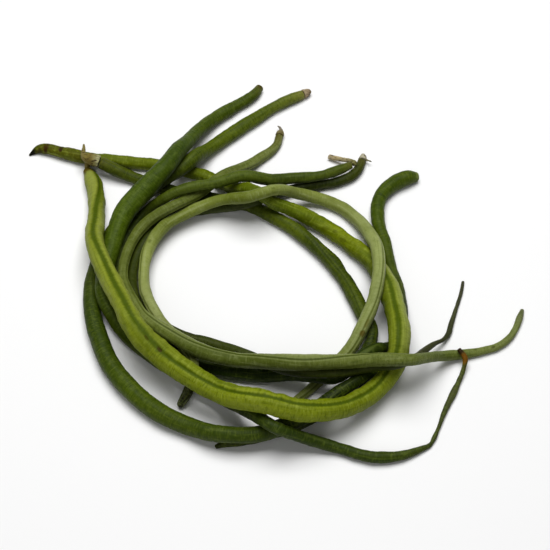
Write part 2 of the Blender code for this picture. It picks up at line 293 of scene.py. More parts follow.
class Pod:
    """One pod's axis and the relief of its skin. The axis is in metres and the looks are in
    millimetres, with distances from the stem end. Angles are in degrees from the top of the pod,
    positive to the left on the way from the stem end to the tip. girth, groove, groove_width and
    low_lip may change along the pod: each is a number or [(distance, number), ...]."""

    def __init__(
        self, node, stem_side, seed, swell, suture, step=0.8, sides=44, girth=1.0, domes=(0.3, 0.8),
        groove=0.15, groove_width=0.5, lips=0.1, low_lip=1.0, pucker=0.08, seeds=0.15,
        creases=0.03, dents=(),
    ):
        self.node = node
        self.seed = seed
        self.sides = sides
        centres, radii = axis_of(node, np.array(stem_side, float))
        self.centres, self.radii, self.along = resampled(centres, radii, step * MM)
        self.length = self.along[-1] / MM
        self.radii = self.radii * at(girth, self.along / MM)  # girth is a share of the CAD radius
        self.domes = domes  # how far the stem end and the tip bulge, in radii of the end
        self.suture = suture  # [(distance, angle), ...]
        self.groove = groove  # the suture's depth
        self.groove_width = groove_width
        self.lips = lips  # height of the ridges beside the groove
        self.low_lip = low_lip  # share of its height that the lip to the right has
        self.pucker = pucker  # how far the lips wave in and out
        self.seeds = seeds  # height of the bumps over the seeds
        self.swell = swell  # height of the uneven swellings
        self.creases = creases  # height of the crosswise wrinkles
        self.dents = dents  # single bumps: (distance, angle, height, half length, half width)

    def suture_angle(self, distance):
        stops, angles = zip(*self.suture)
        return np.interp(distance, stops, angles)

    def skin_place(self, distance, angle):
        """Where a point of the skin lies in the straightened pod, in millimetres."""
        round_pod = math.radians(angle - self.suture_angle(distance))
        radius = np.interp(distance, self.along / MM, self.radii / MM)
        return (radius * math.cos(round_pod), radius * math.sin(round_pod), distance)


def frames(centres):
    """(tangent, up, left) at each centre: up is as near to +Z as the pod allows."""
    tangent = np.gradient(centres, axis=0)
    tangent /= np.linalg.norm(tangent, axis=1)[:, None]
    up = np.array([0.0, 0.0, 1.0]) - tangent[:, 2:] * tangent
    up /= np.linalg.norm(up, axis=1)[:, None]
    left = np.cross(up, tangent)
    return tangent, up, left


def with_domes(pod):
    """The pod's axis with rings added that close both ends: (centres, radii, along)."""
    tangent = frames(pod.centres)[0]
    turns = np.linspace(0, math.pi / 2, DOME_RINGS + 1)[1:]
    stem = pod.radii[0] * pod.domes[0]
    tip = pod.radii[-1] * pod.domes[1]
    before = [pod.centres[0] - tangent[0] * stem * math.sin(turn) for turn in turns[::-1]]
    after = [pod.centres[-1] + tangent[-1] * tip * math.sin(turn) for turn in turns]
    shrink = np.array([max(math.cos(turn), POLE_SHARE) for turn in turns])
    past_stem = -stem * np.sin(turns[::-1])
    past_tip = pod.along[-1] + tip * np.sin(turns)
    return (
        np.concatenate([before, pod.centres, after]),
        np.concatenate([pod.radii[0] * shrink[::-1], pod.radii, pod.radii[-1] * shrink]),
        np.concatenate([past_stem, pod.along, past_tip]),
    )


def on_round_pod(around, radius, along):
    """Where a point at that angle from the suture lies in the straightened, round pod."""
    return np.stack([np.cos(around) * radius, np.sin(around) * radius, along], axis=-1)


def skin_height(pod, around, along, radius):
    """How far the skin stands out from the round pod, in millimetres, at the angle around from
    the suture."""
    arc = around * radius
    zero = np.zeros_like(along)
    place = on_round_pod(around, radius, along)

    depth = at(pod.groove, along)
    width = at(pod.groove_width, along)
    groove = -depth * np.exp(-(np.abs(arc / width) ** GROOVE_POWER))
    side = np.sign(arc) * LIPS_APART
    wave = noise(np.stack([along / PUCKER_LENGTH, side, zero], axis=-1), pod.seed + PUCKER_SEED)
    from_lip = (np.abs(arc) - LIP_PLACE * width) / (LIP_WIDTH[0] + LIP_WIDTH[1] * width)
    lips = depth / depth.max() * (pod.lips + pod.pucker * wave) * np.exp(-(from_lip**2))
    lips *= np.where(arc > 0, 1.0, at(pod.low_lip, along))
    back = (math.pi - np.abs(around)) * radius
    keel = KEEL_SHARE * pod.lips * np.exp(-((back / KEEL_WIDTH) ** 2))

    drift = noise(np.stack([along / DRIFT_LENGTH, zero, zero], axis=-1), pod.seed + DRIFT_SEED)
    phase = along / SEED_PITCH + DRIFT_SHARE * drift
    bump = (0.5 + 0.5 * np.cos(2 * math.pi * phase)) ** SEED_POWER
    slow = np.stack([along / STRENGTH_LENGTH, around * STRENGTH_TURN, zero + 1], axis=-1)
    strength = SEED_STRENGTH[0] + SEED_STRENGTH[1] * noise(slow, pod.seed + STRENGTH_SEED)
    bumps = pod.seeds * strength * (bump - 0.5) * np.sin(np.abs(around)) ** 2

    swell = sum(
        share * pod.swell * noise(place / size, pod.seed + seed) for share, size, seed in SWELLINGS
    )
    creases = pod.creases * noise(place / CREASE_SIZE, pod.seed + CREASE_SEED)
    fade = np.clip(np.minimum(along, pod.length - along) / END_FADE, 0.0, 1.0)

    dents = zero
    for distance, angle, height, half_length, half_width in pod.dents:
        turn = around - math.radians(angle - pod.suture_angle(distance))
        across = ((turn + math.pi) % (2 * math.pi) - math.pi) * radius / half_width
        onward = (along - distance) / half_length
        dents = dents + height * np.exp(-(onward**2) - across**2)
    return (groove + lips + keel + bumps + swell + creases) * fade + dents


def add_attribute(mesh, name, kind, field, values):
    """Stores one value for each vertex, for the materials to read."""
    mesh.attributes.new(name, kind, "POINT").data.foreach_set(field, values.reshape(-1))


def skin(pod, material):
    """The pod's skin as a fine mesh, lofted along its CAD node's axis."""
    centres, radii, along = with_domes(pod)
    tangent, up, left = frames(centres)
    along = along / MM
    turn = np.radians(pod.suture_angle(along))
    window = np.hanning(TURN_RINGS) / np.hanning(TURN_RINGS).sum()
    turn = np.convolve(np.pad(turn, TURN_RINGS // 2, mode="edge"), window, "valid")
    around = np.linspace(-math.pi, math.pi, pod.sides, endpoint=False)
    grid_around, grid_along = np.meshgrid(around, along)
    radius = np.repeat(radii[:, None] / MM, pod.sides, axis=1)
    reach = (radius + skin_height(pod, grid_around, grid_along, radius)) * MM
    angle = grid_around + turn[:, None]
    points = (
        centres[:, None, :]
        + (reach * np.cos(angle))[..., None] * up[:, None, :]
        + (reach * np.sin(angle))[..., None] * left[:, None, :]
    )
    poles = np.array([
        centres[0] - tangent[0] * POLE_SHARE * radii[0],
        centres[-1] + tangent[-1] * POLE_SHARE * radii[-1],
    ])
    vertices = np.concatenate([points.reshape(-1, 3), poles])
    vertices[:, 2] = np.maximum(vertices[:, 2], 0.0)

    index = np.arange(grid_along.size).reshape(grid_along.shape)
    following = np.roll(index, -1, axis=1)
    quads = np.stack([index[:-1], following[:-1], following[1:], index[1:]], axis=-1)
    first_pole = grid_along.size
    fans = [(a, b, first_pole) for a, b in zip(following[0], index[0])]
    fans += [(a, b, first_pole + 1) for a, b in zip(index[-1], following[-1])]
    mesh = bpy.data.meshes.new(pod.node + "_skin")
    mesh.from_pydata(vertices.tolist(), [], quads.reshape(-1, 4).tolist() + fans)
    mesh.shade_smooth()

    straight = on_round_pod(grid_around, radius, grid_along).reshape(-1, 3)
    straight = np.concatenate([straight, [[0, 0, along[0]], [0, 0, along[-1]]]])
    add_attribute(mesh, "straight", "FLOAT_VECTOR", "vector", straight)
    from_suture = np.append(np.abs(grid_around * radius), [0.0, 0.0])
    add_attribute(mesh, "beside", "FLOAT", "value", from_suture)
    add_attribute(mesh, "side", "FLOAT", "value", np.append(np.sin(grid_around), [0.0, 0.0]))

    obj = bpy.data.objects.new(pod.node + "_skin", mesh)
    bpy.context.scene.collection.objects.link(obj)
    mesh.materials.append(material)
    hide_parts(pod.node)
    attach(obj, "root")


# ---------------------------------------------------------------- materials


def colour(red, green, blue):
    """A shade given by its screen values from 0 to 255, as the linear colour a shader takes."""
    shares = np.array([red, green, blue]) / 255
    linear = np.where(shares <= 0.04045, shares / 12.92, ((shares + 0.055) / 1.055) ** 2.4)
    return tuple(float(share) for share in np.maximum(linear - GLOSS, DARKEST) * LIFT)


def shades(*rows):
    """[(place, colour), ...] from rows of a place and a shade's three screen values."""
    return [(place, colour(*values)) for place, *values in rows]


class Nodes:
    """Short ways to add nodes to one material."""

    def __init__(self, name):
        self.material = bpy.data.materials.new(name)
        self.material.use_nodes = True
        self.tree = self.material.node_tree
        self.shader = self.tree.nodes["Principled BSDF"]

    def add(self, kind, **settings):
        node = self.tree.nodes.new(kind)
        for key, value in settings.items():
            setattr(node, key, value)
        return node

    def put(self, target, value):
        """Links value to the socket if it is a socket, and else sets it."""
        if isinstance(value, bpy.types.NodeSocket):
            self.tree.links.new(value, target)
        else:
            target.default_value = value

    def complete(self, shade, roughness, normal, specular):
        """Gives the shader its inputs. Returns the material."""
        self.put(self.shader.inputs["Base Color"], shade)
        self.put(self.shader.inputs["Roughness"], roughness)
        self.put(self.shader.inputs["Normal"], normal)
        self.put(self.shader.inputs["Specular IOR Level"], specular)
        return self.material

    def attribute(self, name, output):
        return self.add("ShaderNodeAttribute", attribute_name=name).outputs[output]

    def separate(self, vector):
        node = self.add("ShaderNodeSeparateXYZ")
        self.put(node.inputs[0], vector)
        return node.outputs

    def maths(self, operation, first, second):
        node = self.add("ShaderNodeMath", operation=operation)
        self.put(node.inputs[0], first)
        self.put(node.inputs[1], second)
        return node.outputs[0]

    def times(self, *factors):
        product = factors[0]
        for factor in factors[1:]:
            product = self.maths("MULTIPLY", product, factor)
        return product

    def ramped(self, value, bottom, rise):
        """bottom where value is 0, and bottom + rise where it is 1."""
        return self.maths("ADD", self.times(value, rise), bottom)

    def step(self, value, low, high):
        """0 where value is at or before low, 1 at or past high, smooth between. low may be the
        larger of the two."""
        node = self.add("ShaderNodeMapRange", interpolation_type="SMOOTHSTEP")
        self.put(node.inputs["Value"], value)
        node.inputs["From Min"].default_value = min(low, high)
        node.inputs["From Max"].default_value = max(low, high)
        node.inputs["To Min"].default_value = 0.0 if low < high else 1.0
        node.inputs["To Max"].default_value = 1.0 if low < high else 0.0
        return node.outputs["Result"]

    def ramp(self, share, stops):
        """A colour that changes as share goes from 0 to 1, from [(share, colour), ...]."""
        node = self.add("ShaderNodeValToRGB")
        elements = node.color_ramp.elements
        while len(elements) < len(stops):
            elements.new(1.0)
        for element, (place, shade) in zip(elements, stops):
            element.position = place
            element.color = (*shade, 1.0)
        self.put(node.inputs["Fac"], share)
        return node.outputs["Color"]

    def along(self, distance, stops):
        """A colour that changes along the pod, from [(distance, colour), ...]."""
        reached = self.maths("DIVIDE", distance, RAMP_REACH)
        return self.ramp(reached, [(place / RAMP_REACH, shade) for place, shade in stops])

    def strength(self, distance, value):
        """A share that may change along the pod: a number, or [(distance, number), ...]."""
        if isinstance(value, (int, float)):
            return value
        return self.along(distance, [(place, (number,) * 3) for place, number in value])

    def noise(self, vector, scale, detail, rough=0.5):
        """Noise from about 0 to 1, with scale bumps to a unit along each axis."""
        mapping = self.add("ShaderNodeMapping")
        self.put(mapping.inputs["Vector"], vector)
        self.put(mapping.inputs["Scale"], scale)
        node = self.add("ShaderNodeTexNoise")
        self.put(node.inputs["Vector"], mapping.outputs[0])
        self.put(node.inputs["Scale"], 1.0)
        self.put(node.inputs["Detail"], detail)
        self.put(node.inputs["Roughness"], rough)
        return node.outputs["Fac"]

    def mix(self, share, first, second):
        node = self.add("ShaderNodeMix", data_type="RGBA")
        self.put(node.inputs[MIX_SHARE], share)
        for socket, shade in ((MIX_FIRST, first), (MIX_SECOND, second)):
            self.put(node.inputs[socket], (*shade, 1.0) if isinstance(shade, tuple) else shade)
        return node.outputs[MIX_RESULT]

    def layer(self, under, over, value, start, full, *shares):
        """The colour over laid on the colour under: not at all where value is at start, and as
        strongly as the shares say where it is at full."""
        return self.mix(self.times(self.step(value, start, full), *shares), under, over)

    def distance_from(self, vector, centre, reach):
        """How far vector is from the centre, measured in reaches along each axis."""
        away = self.add("ShaderNodeVectorMath", operation="SUBTRACT")
        self.put(away.inputs[0], vector)
        self.put(away.inputs[1], centre)
        scaled = self.add("ShaderNodeVectorMath", operation="DIVIDE")
        self.put(scaled.inputs[0], away.outputs[0])
        self.put(scaled.inputs[1], reach)
        length = self.add("ShaderNodeVectorMath", operation="LENGTH")
        self.put(length.inputs[0], scaled.outputs[0])
        return length.outputs["Value"]

    def bump(self, height, depth, strength, normal=None):
        node = self.add("ShaderNodeBump")
        self.put(node.inputs["Strength"], strength)
        self.put(node.inputs["Distance"], depth)
        self.put(node.inputs["Height"], height)
        if normal is not None:
            self.put(node.inputs["Normal"], normal)
        return node.outputs[0]


def bean_skin(
    pod, tints, pale, deep, wrinkle, speckle,
    mottle=0.5, flanks=(), line=None, lip=0.35, spots=(), specular=SKIN_SPECULAR,
):
    """The skin of one pod. tints are its colours along it, [(distance from the stem end, colour),
    ...], with painted shade where the pod lies under others; pale is that of its lighter
    streaks and deep that of its darker patches. wrinkle, speckle, mottle and lip are how
    strongly those show. flanks are colours of one side of the suture: (side where it starts,
    side where it is full, colour, strength), with sides from -1 on the right to 1 on the left;
    some are painted highlight or painted shade on that side. line is (colour, width, strength)
    of the suture's line. spots are (distance, angle, half length, half width, colour, strength)."""
    n = Nodes(pod.node + "_skin")
    straight = n.attribute("straight", "Vector")
    beside = n.attribute("beside", "Fac")
    side = n.attribute("side", "Fac")
    distance = n.separate(straight)["Z"]

    # The scales are in bumps per millimetre, twice across the pod and once along it.
    patches = n.noise(straight, (0.14, 0.14, 0.035), detail=3)
    blotches = n.noise(straight, (0.4, 0.4, 0.22), detail=4, rough=0.6)
    creases = n.noise(straight, (0.28, 0.28, 1.15), detail=3, rough=0.6)
    wrinkles = n.noise(straight, (0.22, 0.22, 2.1), detail=3, rough=0.65)
    fibres = n.noise(straight, (1.3, 1.3, 0.12), detail=2)
    streaks = n.noise(straight, (0.75, 0.75, 0.05), detail=3, rough=0.55)
    pores = n.noise(straight, (1.5, 1.5, 1.2), detail=2, rough=0.6)
    raggedness = n.noise(straight, (0.8, 0.8, 0.5), detail=3)

    # Each layer has its colour, its noise, where that starts to show and where it shows fully,
    # and its strengths.
    shade = n.along(distance, tints)
    shade = n.layer(shade, deep, patches, 0.5, 0.32, mottle)
    shade = n.layer(shade, pale, blotches, 0.52, 0.74, mottle)
    shade = n.layer(shade, deep, blotches, 0.46, 0.28, mottle)
    for start, full, flank, share in flanks:
        shade = n.layer(shade, flank, side, start, full, n.strength(distance, share))
    shade = n.layer(shade, pale, streaks, 0.54, 0.68, STREAK)
    shade = n.layer(shade, deep, streaks, 0.46, 0.32, STREAK)
    wrinkle = n.strength(distance, wrinkle)
    shade = n.layer(shade, pale, wrinkles, 0.53, 0.7, wrinkle, CREST_SHARE)
    shade = n.layer(shade, deep, wrinkles, 0.46, 0.3, wrinkle)
    shade = n.layer(shade, pale, creases, 0.52, 0.72, wrinkle)
    shade = n.layer(shade, deep, creases, 0.47, 0.3, wrinkle)
    shade = n.layer(shade, deep, pores, 0.56, 0.68, n.strength(distance, speckle))

    line_shade, width, share = line or (deep, LINE_WIDTH, LINE_SHARE)
    share = n.strength(distance, share)
    across = n.maths("DIVIDE", beside, n.strength(distance, width))
    inside = n.step(across, *BAND_OUTER)
    shade = n.layer(shade, pale, across, *BAND_INNER, inside, share, lip)
    uneven = n.maths("ADD", across, n.maths("SUBTRACT", creases, 0.5))
    shade = n.layer(shade, line_shade, uneven, *LINE_EDGE, share)

    ragged = n.times(n.maths("SUBTRACT", raggedness, 0.5), RAGGED)
    for place, angle, half_length, half_width, spot, share in spots:
        reach = (half_width, half_width, half_length)
        away = n.distance_from(straight, pod.skin_place(place, angle), reach)
        shade = n.layer(shade, spot, n.maths("ADD", away, ragged), *SPOT_EDGE, share)

    normal = None
    for height, depth, strength in [  # depth in millimetres
        (creases, 0.45, 0.7), (wrinkles, 0.3, 0.6), (blotches, 0.6, 0.5), (pores, 0.08, 0.5),
        (fibres, 0.1, 0.3),
    ]:
        normal = n.bump(height, depth * MM, strength, normal)
    return n.complete(shade, n.ramped(creases, *SKIN_ROUGHNESS), normal, specular)


def dry_skin(node, axis, stops):
    """A dry stalk or calyx: fibrous along the axis, 0 for X or 1 for Y, with dark cracks. stops
    are [(share of the way along its box, colour), ...]."""
    n = Nodes(node + "_dry")
    place = n.add("ShaderNodeTexCoord").outputs["Object"]
    low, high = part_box(node)
    reach = n.maths("SUBTRACT", n.separate(place)["XYZ"[axis]], low[axis])
    share = n.maths("DIVIDE", reach, high[axis] - low[axis])
    grain = [FIBRES_ACROSS] * 3
    grain[axis] = FIBRES_ALONG
    fibres = n.noise(place, grain, detail=4, rough=0.65)
    patches = n.noise(place, [DRY_PATCHES] * 3, detail=2)
    wander = n.times(n.maths("SUBTRACT", patches, 0.5), WANDER)
    bands = n.ramp(n.maths("ADD", share, wander), stops)
    shade = n.layer(bands, CRACK, fibres, *CRACK_EDGE)
    normal = n.bump(fibres, FIBRE_DEPTH, FIBRE_STRENGTH)
    return n.complete(shade, n.ramped(fibres, *DRY_ROUGHNESS), normal, DRY_SPECULAR)


def weathered(node, material):
    """A small dry piece: its CAD node's shape, remeshed finely and made uneven."""
    mesh = frame["nodes"][node].data.copy()
    obj = bpy.data.objects.new(node + "_dry", mesh)
    bpy.context.scene.collection.objects.link(obj)
    shape = bmesh.new()
    shape.from_mesh(mesh)
    bmesh.ops.remove_doubles(shape, verts=shape.verts, dist=2 * SAME_PLACE)
    shape.to_mesh(mesh)
    shape.free()
    remesh = obj.modifiers.new("remesh", "REMESH")
    remesh.mode = "VOXEL"
    remesh.voxel_size = VOXEL
    smooth = obj.modifiers.new("smooth", "SMOOTH")
    smooth.iterations = SMOOTHINGS
    graph = bpy.context.evaluated_depsgraph_get()
    fine = bpy.data.meshes.new_from_object(obj.evaluated_get(graph))
    obj.modifiers.clear()
    obj.data = fine
    points = np.empty(len(fine.vertices) * 3)
    fine.vertices.foreach_get("co", points)
    points = points.reshape(-1, 3)
    normals = np.array([vertex.normal[:] for vertex in fine.vertices])
    push = sum(share * noise(points / size, seed) for share, size, seed in UNEVEN_NOISES)
    points += normals * (push * UNEVENNESS)[:, None]
    fine.vertices.foreach_set("co", points.reshape(-1))
    fine.update()
    fine.shade_smooth()
    fine.materials.clear()
    fine.materials.append(material)
    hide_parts(node)
    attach(obj, "root")


# ---------------------------------------------------------------- stage


def set_up_stage():
    signs = ((-1, -1), (1, -1), (1, 1), (-1, 1))
    corners = [(x * FLOOR_REACH, y * FLOOR_REACH, 0) for x, y in signs]
    floor_mesh = bpy.data.meshes.new("floor")
    floor_mesh.from_pydata(corners, [], [(0, 1, 2, 3)])
    floor = bpy.data.objects.new("floor", floor_mesh)
    bpy.context.scene.collection.objects.link(floor)
    plain = Nodes("pale_floor")
    plain.put(plain.shader.inputs["Base Color"], (FLOOR_ALBEDO, FLOOR_ALBEDO, FLOOR_ALBEDO, 1.0))
    plain.put(plain.shader.inputs["Roughness"], FLOOR_ROUGHNESS)
    plain.put(plain.shader.inputs["Specular IOR Level"], 0.0)
    floor_mesh.materials.append(plain.material)

    world = bpy.data.worlds.new("studio")
    bpy.context.scene.world = world
    world.use_nodes = True
    background = world.node_tree.nodes["Background"]
    background.inputs["Color"].default_value = (1.0, 1.0, 1.0, 1.0)
    background.inputs["Strength"].default_value = WORLD_STRENGTH
    for name, place, side, power in SOFTBOXES:
        light = bpy.data.lights.new(name, "AREA")
        light.size = side
        light.energy = power
        lamp = bpy.data.objects.new(name, light)
        bpy.context.scene.collection.objects.link(lamp)
        lamp.location = place
        lamp.rotation_euler = Vector(place).to_track_quat("Z", "Y").to_euler()

    camera = bpy.data.objects.new("camera", bpy.data.cameras.new("camera"))
    bpy.context.scene.collection.objects.link(camera)
    bpy.context.scene.camera = camera
    elevation = math.radians(CAMERA_ELEVATION)
    back = Vector((0.0, -math.cos(elevation), math.sin(elevation)))
    camera.location = Vector(CAMERA_TARGET) + back * CAMERA_DISTANCE
    camera.rotation_euler = back.to_track_quat("Z", "Y").to_euler()
    camera.data.lens = CAMERA_LENS
    camera.data.clip_start = CAMERA_NEAREST
    bpy.context.scene.view_settings.view_transform = "Standard"


def clear_startup():
    for obj in list(bpy.data.objects):
        bpy.data.objects.remove(obj, do_unlink=True)


# ---------------------------------------------------------------- the bunch

clear_startup()
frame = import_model()

BACK = (0, 1, 0)
RIGHT = (1, 0, 0)
MAROON = colour(52, 32, 6)
BROWN = colour(78, 62, 26)
BLACK = colour(14, 12, 6)
CRACK = colour(58, 44, 20)


def bean(pod, **look):
    skin(pod, bean_skin(pod, **look))


bean(
    Pod(
        "pod_ripe", RIGHT, seed=100, step=0.55, sides=56,
        suture=[
            (0, 54), (12, 52), (16, 46), (20, 28), (26, 12), (33, -4), (43, -2), (55, -4),
            (62, -3), (70, 10), (82, 7), (94, 2), (108, 5), (120, 10), (129, -2), (138, -13),
            (158, -15), (169, -7), (185, -4), (194, -3), (203, 8), (212, 3), (231, -2), (241, -2),
            (250, -15), (257, -11), (261, -4), (266, 12), (274, 8), (282, 2), (290, 7), (300, 6),
            (311, 5), (320, -5), (328, -3), (350, 20), (380, 80), (430, 95), (470, 60), (500, 5),
            (546, 5),
        ],
        groove=[
            (0, 0.3), (12, 0.6), (120, 0.6), (150, 0.75), (250, 0.75), (330, 0.6), (352, 0.15),
            (546, 0.1),
        ],
        groove_width=[(0, 1.3), (125, 1.3), (160, 0.75), (250, 0.75), (285, 1.1), (546, 1.0)],
        low_lip=[(0, 1), (120, 0.8), (150, 0), (255, 0), (290, 0.6), (546, 1)],
        lips=0.28, pucker=0.4, seeds=0.34, swell=0.36, creases=0.1, domes=(0.3, 0.9),
        dents=[
            (176, 50, 0.3, 4, 2.5), (194, 50, 0.4, 4, 2.5), (200.5, 50, -0.7, 1.3, 2),
            (204, 50, 0.35, 2, 2), (212, 50, -0.3, 2.5, 2), (228, 45, 0.3, 4, 2.5),
            (8, -60, 0.5, 3, 3), (20, 60, -0.4, 4, 3), (388, 0, -0.5, 3, 3), (420, -60, 0.4, 3, 3),
        ],
    ),
    # The darker stops from about 400 to 450 mm are painted shade where the pod passes under others.
    tints=shades(
        (0, 87, 75, 27), (5, 110, 114, 43), (20, 126, 134, 53), (60, 118, 128, 40),
        (96, 124, 134, 40), (130, 112, 124, 29), (170, 104, 117, 24), (190, 120, 132, 29),
        (220, 110, 122, 19), (244, 97, 108, 24), (258, 112, 124, 30), (290, 101, 112, 24),
        (325, 122, 134, 48), (352, 103, 114, 17), (372, 112, 125, 19), (400, 77, 91, 6),
        (450, 83, 95, 18), (485, 89, 101, 19), (508, 91, 101, 30), (518, 75, 75, 5),
        (540, 75, 73, 6), (546, 49, 43, 8),
    ),
    pale=colour(134, 145, 58), deep=colour(72, 86, 4), specular=0.07,
    flanks=[
        (
            0.1, 0.75, colour(142, 150, 74),
            [(26, 0.0), (42, 0.65), (120, 0.3), (170, 0.0), (546, 0.0)],
        ),
        # Painted shade on one side of the pod, near the stem end and from about 300 to 350 mm.
        (
            0.1, 0.5, colour(74, 86, 8),
            [
                (0, 0.85), (24, 0.85), (40, 0.0), (296, 0.0), (306, 0.8), (345, 0.8),
                (352, 0.0),
            ],
        ),
        (-0.3, -0.85, colour(138, 146, 74), [(0, 0.7), (60, 0.5), (130, 0.0), (546, 0.0)]),
        (
            -0.3, -0.85, colour(124, 136, 40),
            [(120, 0.0), (170, 0.65), (260, 0.65), (280, 0.0)],
        ),
        (
            -0.15, -0.5, colour(142, 152, 74),
            [(268, 0.0), (284, 0.75), (325, 0.75), (345, 0.0)],
        ),
    ],
    # The suture's dark line is partly its own colour and partly painted shade in the groove.
    line=(
        colour(68, 83, 0),
        [(0, 1.15), (125, 1.1), (160, 0.7), (250, 0.7), (285, 1.0), (546, 0.9)],
        [(0, 0.6), (8, 1.0), (335, 1.0), (352, 0.15), (546, 0.2)],
    ),
    lip=0.15,
    wrinkle=[(0, 0.3), (120, 0.35), (150, 0.55), (250, 0.55), (300, 0.35), (546, 0.3)],
    speckle=[(0, 0.15), (330, 0.2), (360, 0.5), (410, 0.4), (546, 0.25)],
    spots=[
        (1.5, 0, 3.5, 4.5, BROWN, 0.9),
        (137, -12, 2.2, 1.1, MAROON, 0.7),
        (128, -9, 2.0, 0.9, MAROON, 0.45),
        (536.5, 30, 1.9, 4.2, colour(58, 43, 12), 0.85),
        (536.5, 45, 1.4, 1.6, MAROON, 0.8),
        (528.5, 0, 1.2, 2.6, colour(42, 38, 4), 0.8),
        (528.5, 15, 1.0, 1.3, MAROON, 0.8),
        (518, 50, 6.0, 2.2, colour(70, 66, 4), 0.6),
        (512, 75, 5.0, 1.6, MAROON, 0.4),
        (541, 75, 3.4, 1.8, colour(44, 34, 10), 0.8),
        (545.5, 60, 2.6, 3.0, BLACK, 0.95),
        (360, 40, 2.5, 1.6, colour(77, 85, 5), 0.7),
        (372, 45, 2.5, 1.5, colour(83, 91, 6), 0.6),
        (384, 45, 2.5, 1.6, colour(69, 79, 3), 0.6),
        (366, 20, 1.6, 1.2, colour(77, 85, 5), 0.6),
    ],
)
bean(
    Pod(
        "pod_pale_trailing", BACK, seed=200,
        suture=[
            (0, 80), (100, 70), (145, 40), (165, 21), (180, -1), (196, 14), (209, 23), (221, 17),
            (237, -5), (252, -19), (266, 4), (276, 28), (300, 50), (382, 80),
        ],
        groove=0.22, groove_width=0.4, lips=0.16, pucker=0.1, swell=0.2, creases=0.06,
    ),
    tints=shades(
        (0, 86, 80, 39), (4, 92, 92, 45), (14, 102, 110, 56), (34, 105, 115, 56),
        (60, 86, 96, 43), (130, 88, 98, 42), (165, 102, 112, 52), (200, 88, 99, 43),
        (230, 76, 86, 35), (255, 94, 104, 47), (290, 96, 106, 50), (325, 92, 103, 49),
        (350, 107, 117, 60), (372, 109, 118, 68), (381, 98, 102, 73),
    ),
    pale=colour(125, 134, 83), deep=colour(58, 69, 22), mottle=0.4, wrinkle=0.3,
    # Painted highlight: the pod's upper valve made paler, from about 160 to 300 mm.
    flanks=[(
        0.1, 0.75, colour(152, 160, 106),
        [(0, 0.0), (160, 0.1), (185, 0.65), (270, 0.65), (300, 0.0)],
    )],
    line=(
        colour(53, 63, 16), 0.34,
        [(0, 0.2), (150, 0.3), (170, 0.8), (278, 0.8), (300, 0.25), (382, 0.25)],
    ),
    lip=0.5,
    speckle=[(0, 0.3), (275, 0.3), (288, 0.75), (306, 0.75), (320, 0.45), (382, 0.35)],
    spots=[
        (325, -30, 1.0, 0.8, colour(49, 55, 16), 0.6),
        (354, -10, 1.2, 0.7, colour(55, 59, 20), 0.7),
        (345, 20, 0.9, 0.7, colour(55, 59, 20), 0.5),
        (70, 5, 2.0, 1.2, colour(55, 59, 20), 0.4),
    ],
)
bean(
    Pod(
        "pod_pale_ring", RIGHT, seed=300,
        suture=[
            (0, -45), (49, -33), (57, -23), (69, -24), (77, -34), (87, -34), (99, -38),
            (114, -56), (130, -80), (240, -80), (281, -30), (302, -60), (321, -37), (368, -40),
        ],
        groove=0.2, groove_width=0.4, lips=0.14, swell=0.2, creases=0.05, domes=(0.3, 1.0),
    ),
    # The darkening from about 340 mm to the end is partly a dried black tip and partly painted
    # shade.
    tints=shades(
        (0, 100, 108, 50), (45, 118, 128, 70), (75, 132, 142, 84), (108, 142, 152, 90),
        (132, 132, 141, 82), (150, 122, 132, 66), (170, 112, 122, 56), (186, 122, 132, 68),
        (204, 94, 105, 38), (228, 112, 123, 54), (252, 95, 106, 42), (272, 134, 144, 76),
        (312, 132, 140, 84), (340, 96, 104, 52), (352, 56, 60, 26), (360, 34, 34, 16),
        (366, 14, 11, 6),
    ),
    pale=colour(148, 156, 104), deep=colour(92, 102, 42), mottle=0.35, wrinkle=0.25,
    speckle=0.25,
    line=(
        colour(72, 82, 30), 0.34,
        [(0, 0.7), (100, 0.7), (125, 0.15), (255, 0.15), (275, 0.7), (368, 0.6)],
    ),
    lip=0.3,
    spots=[
        (55, -36, 2.0, 1.4, colour(84, 68, 20), 0.75),
        (60, -30, 3.0, 0.8, colour(92, 84, 36), 0.5),
        (190, 20, 1.0, 0.7, colour(84, 94, 38), 0.6),
        (264, -5, 1.4, 0.8, colour(80, 90, 36), 0.6),
        (252, 30, 1.4, 0.9, colour(84, 94, 38), 0.5),
    ],
)
bean(
    Pod(
        "pod_hooked", BACK, seed=400, suture=[(0, 110), (60, 125), (250, 100), (422, 110)],
        swell=0.3, creases=0.09, domes=(0.3, 0.4),
        girth=[(363, 1), (367.5, 0.9), (372, 1), (413, 1), (418, 1.15), (422, 1.15)],
    ),
    tints=shades(
        (0, 97, 90, 57), (3, 73, 78, 33), (10, 61, 73, 21), (36, 73, 87, 22), (72, 59, 76, 13),
        (100, 59, 76, 17), (122, 69, 87, 23), (160, 59, 74, 17), (230, 65, 76, 24),
        (270, 51, 62, 19), (300, 41, 55, 12), (345, 51, 62, 24), (372, 53, 58, 32),
        (392, 69, 72, 44), (408, 71, 72, 44), (414, 61, 54, 22), (422, 57, 44, 10),
    ),
    pale=colour(89, 104, 44), deep=colour(41, 56, 6), wrinkle=0.5, speckle=0.4,
    spots=[
        (0.5, 30, 2.2, 2.0, colour(69, 60, 26), 0.8),
        (417, 20, 3.4, 2.4, colour(112, 72, 18), 0.85),
        (421.5, 40, 1.8, 2.2, colour(44, 28, 14), 0.9),
    ],
)
